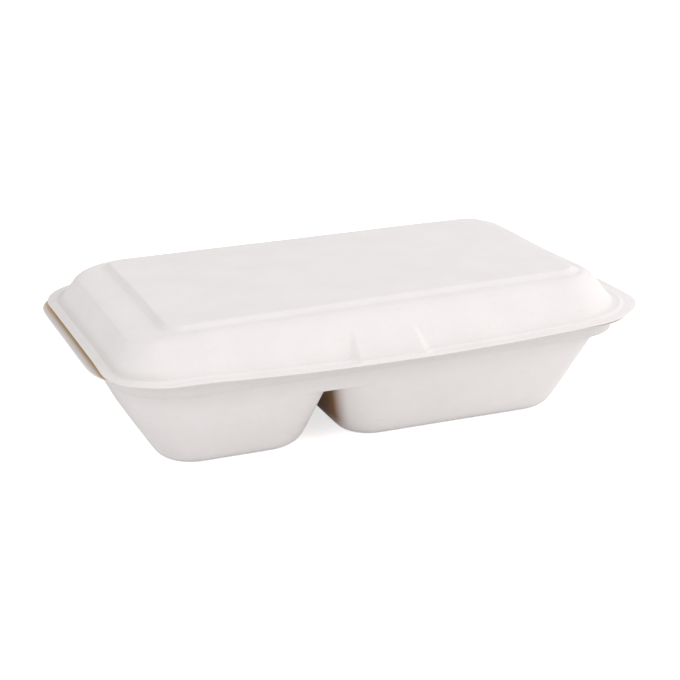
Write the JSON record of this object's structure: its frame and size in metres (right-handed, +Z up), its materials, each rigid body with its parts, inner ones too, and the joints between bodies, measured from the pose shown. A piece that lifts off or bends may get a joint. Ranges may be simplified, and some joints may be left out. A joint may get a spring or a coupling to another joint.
{
  "type": "moulded pulp clamshell food box",
  "caption": "Hinged takeaway food box moulded from bagasse pulp: tray with a small and a large compartment, domed lid with raised panel, and a press-in front lock.",
  "frame": {"origin": "under the middle of the closed box, on the surface that it stands on", "axes": "+X to the right along the hinge, +Y from the lock at the front to the hinge at the back, +Z up"},
  "size_m": [0.257, 0.168, 0.068],
  "materials": {
    "pulp": "matte moulded pulp with a fine mesh imprint"
  },
  "bodies": {
    "base": {"base_tray": "pulp"},
    "lid": {"lid": "pulp"}
  },
  "joints": [
    {"name": "lid_hinge", "type": "hinge", "parent": "base", "child": "lid", "pos_m": [0, 0.08416, 0.04938], "axis": [-1, 0, 0], "range_deg": [0, 180]}
  ]
}
